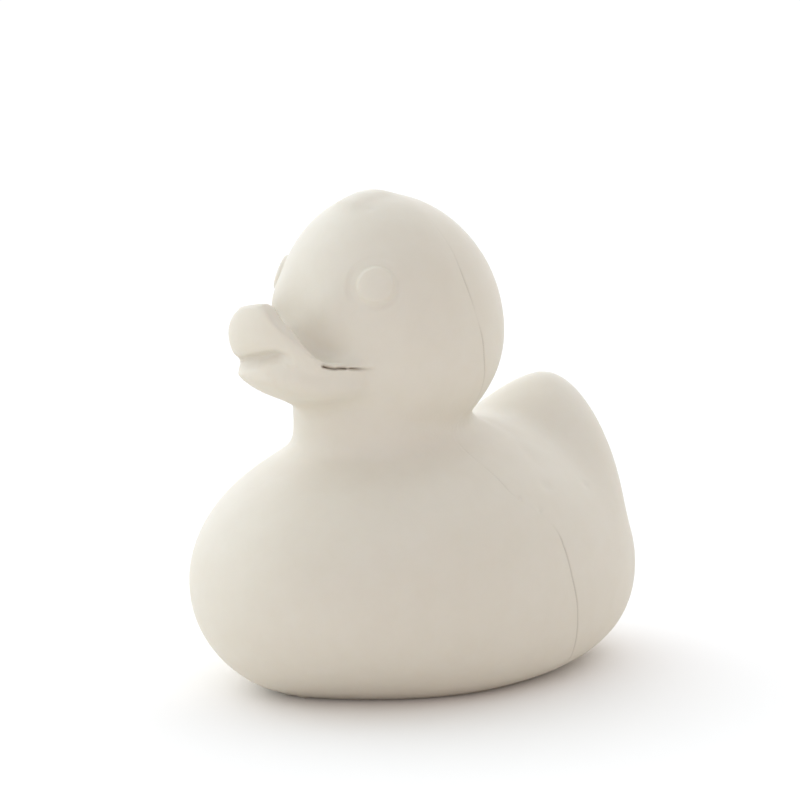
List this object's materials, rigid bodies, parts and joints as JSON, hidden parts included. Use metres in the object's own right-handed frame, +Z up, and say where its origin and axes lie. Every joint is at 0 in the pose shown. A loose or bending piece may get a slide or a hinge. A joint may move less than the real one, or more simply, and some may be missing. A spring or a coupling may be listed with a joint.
{
  "type": "rubber duck",
  "caption": "One-piece cast natural rubber duck with a flat underside, a domed head with an upturned bill and a broad raised tail.",
  "frame": {"origin": "on the flat underside, midway between the sides and in the middle of the body's length", "axes": "+Z up, -Y the way the bill points, +X the duck's left side"},
  "size_m": [0.0609, 0.0853, 0.0834],
  "materials": {
    "natural_rubber": "matte, undyed off-white natural rubber"
  },
  "bodies": {
    "root": {"duck": "natural_rubber"}
  },
  "joints": []
}
